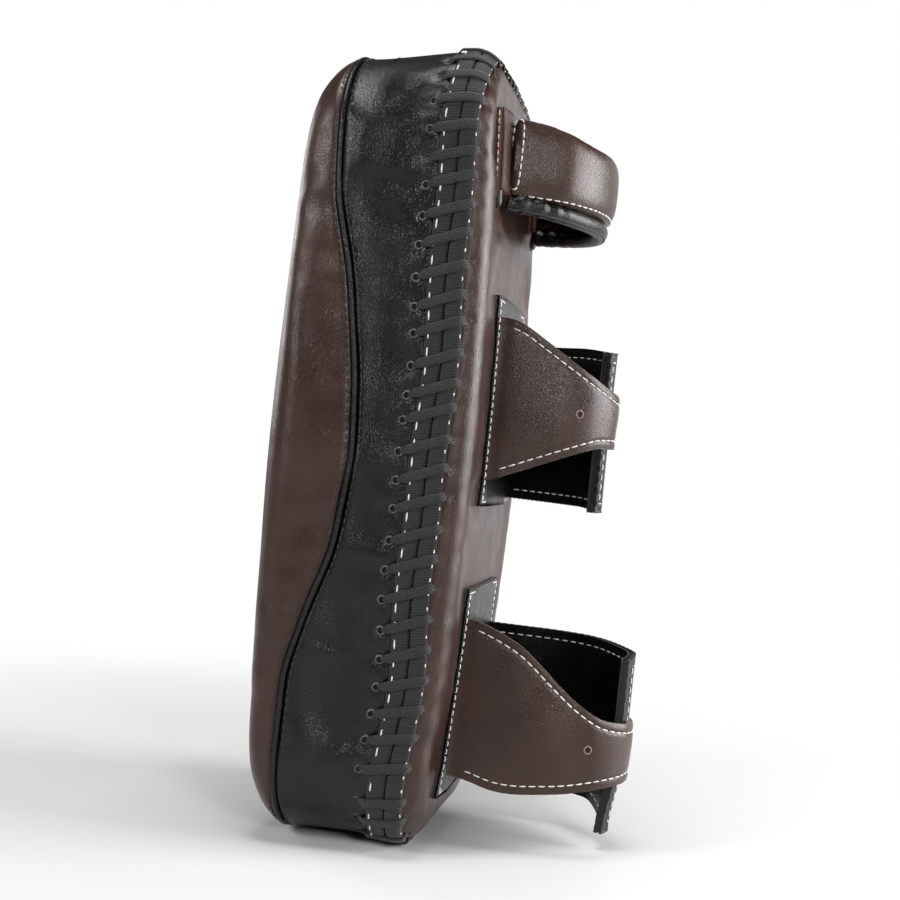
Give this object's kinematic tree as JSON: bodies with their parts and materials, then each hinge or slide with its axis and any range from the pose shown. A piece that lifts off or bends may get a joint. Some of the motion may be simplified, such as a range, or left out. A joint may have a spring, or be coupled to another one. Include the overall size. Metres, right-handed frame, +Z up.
{
  "type": "thai kick pad",
  "caption": "Curved-cornered padded kick shield in laced leather, with an arched grip handle and two forearm loops that open and fold.",
  "frame": {"origin": "on the pad's middle plane, level with the flat foot it stands on, 30 mm in front of the lacing seam and 58 mm behind the strike face", "axes": "+Z up along the pad's length, strike face towards -Y, handle and forearm loops towards +Y, +X to the right of someone facing the strike face"},
  "size_m": [0.2024, 0.2043, 0.4224],
  "materials": {
    "brown_leather": "satin full-grain look, very dark chocolate brown",
    "black_leather": "satin black, fine grain",
    "tan_leather_edge": "raw cut edge, reddish tan",
    "binding_tape": "ribbed charcoal grosgrain webbing",
    "lacing_cord": "flat braided black cord",
    "touch_tape": "black hook and loop tape",
    "felt": "dark grey felt",
    "closed_cell_foam": "matte closed-cell foam",
    "stiffener": "matte sheet"
  },
  "bodies": {
    "pad": {"front_cover": "brown_leather", "front_welt": "black_leather", "side_wall_right": "black_leather", "side_wall_left": "black_leather", "back_panel": "brown_leather", "binding_side_edge": "binding_tape", "binding_back_edge": "binding_tape", "lacing_cord": "lacing_cord", "strike_foam": "closed_cell_foam", "core_foam": "closed_cell_foam", "stiffener_sheet": "stiffener", "back_foam": "closed_cell_foam", "handle_cover": "brown_leather", "handle_lining": "black_leather", "handle_foam": "closed_cell_foam", "handle_roll": "black_leather", "handle_tab_right": "tan_leather_edge", "handle_tab_left": "tan_leather_edge", "upper_base_patch": "black_leather", "lower_base_patch": "black_leather"},
    "upper_strap": {"upper_strap": "brown_leather", "upper_strap_lining": "black_leather", "upper_hook_tape": "touch_tape"},
    "upper_flap": {"upper_flap": "black_leather", "upper_flap_padding": "felt", "upper_flap_lining": "black_leather", "upper_loop_tape": "touch_tape"},
    "lower_strap": {"lower_strap": "brown_leather", "lower_strap_lining": "black_leather", "lower_hook_tape": "touch_tape"},
    "lower_flap": {"lower_flap": "black_leather", "lower_flap_padding": "felt", "lower_flap_lining": "black_leather", "lower_loop_tape": "touch_tape"}
  },
  "joints": [
    {"name": "upper_strap_open", "type": "hinge", "parent": "pad", "child": "upper_strap", "pos_m": [0.044, 0.0552, 0], "axis": [0, 0, -1], "range_deg": [0, 70]},
    {"name": "upper_flap_fold", "type": "hinge", "parent": "pad", "child": "upper_flap", "pos_m": [-0.0392, 0.0552, 0], "axis": [0, 0, -1], "range_deg": [0, 22]},
    {"name": "lower_strap_open", "type": "hinge", "parent": "pad", "child": "lower_strap", "pos_m": [0.044, 0.0546, 0], "axis": [0, 0, -1], "range_deg": [0, 70]},
    {"name": "lower_flap_fold", "type": "hinge", "parent": "pad", "child": "lower_flap", "pos_m": [-0.0392, 0.0546, 0], "axis": [0, 0, -1], "range_deg": [0, 22]}
  ]
}
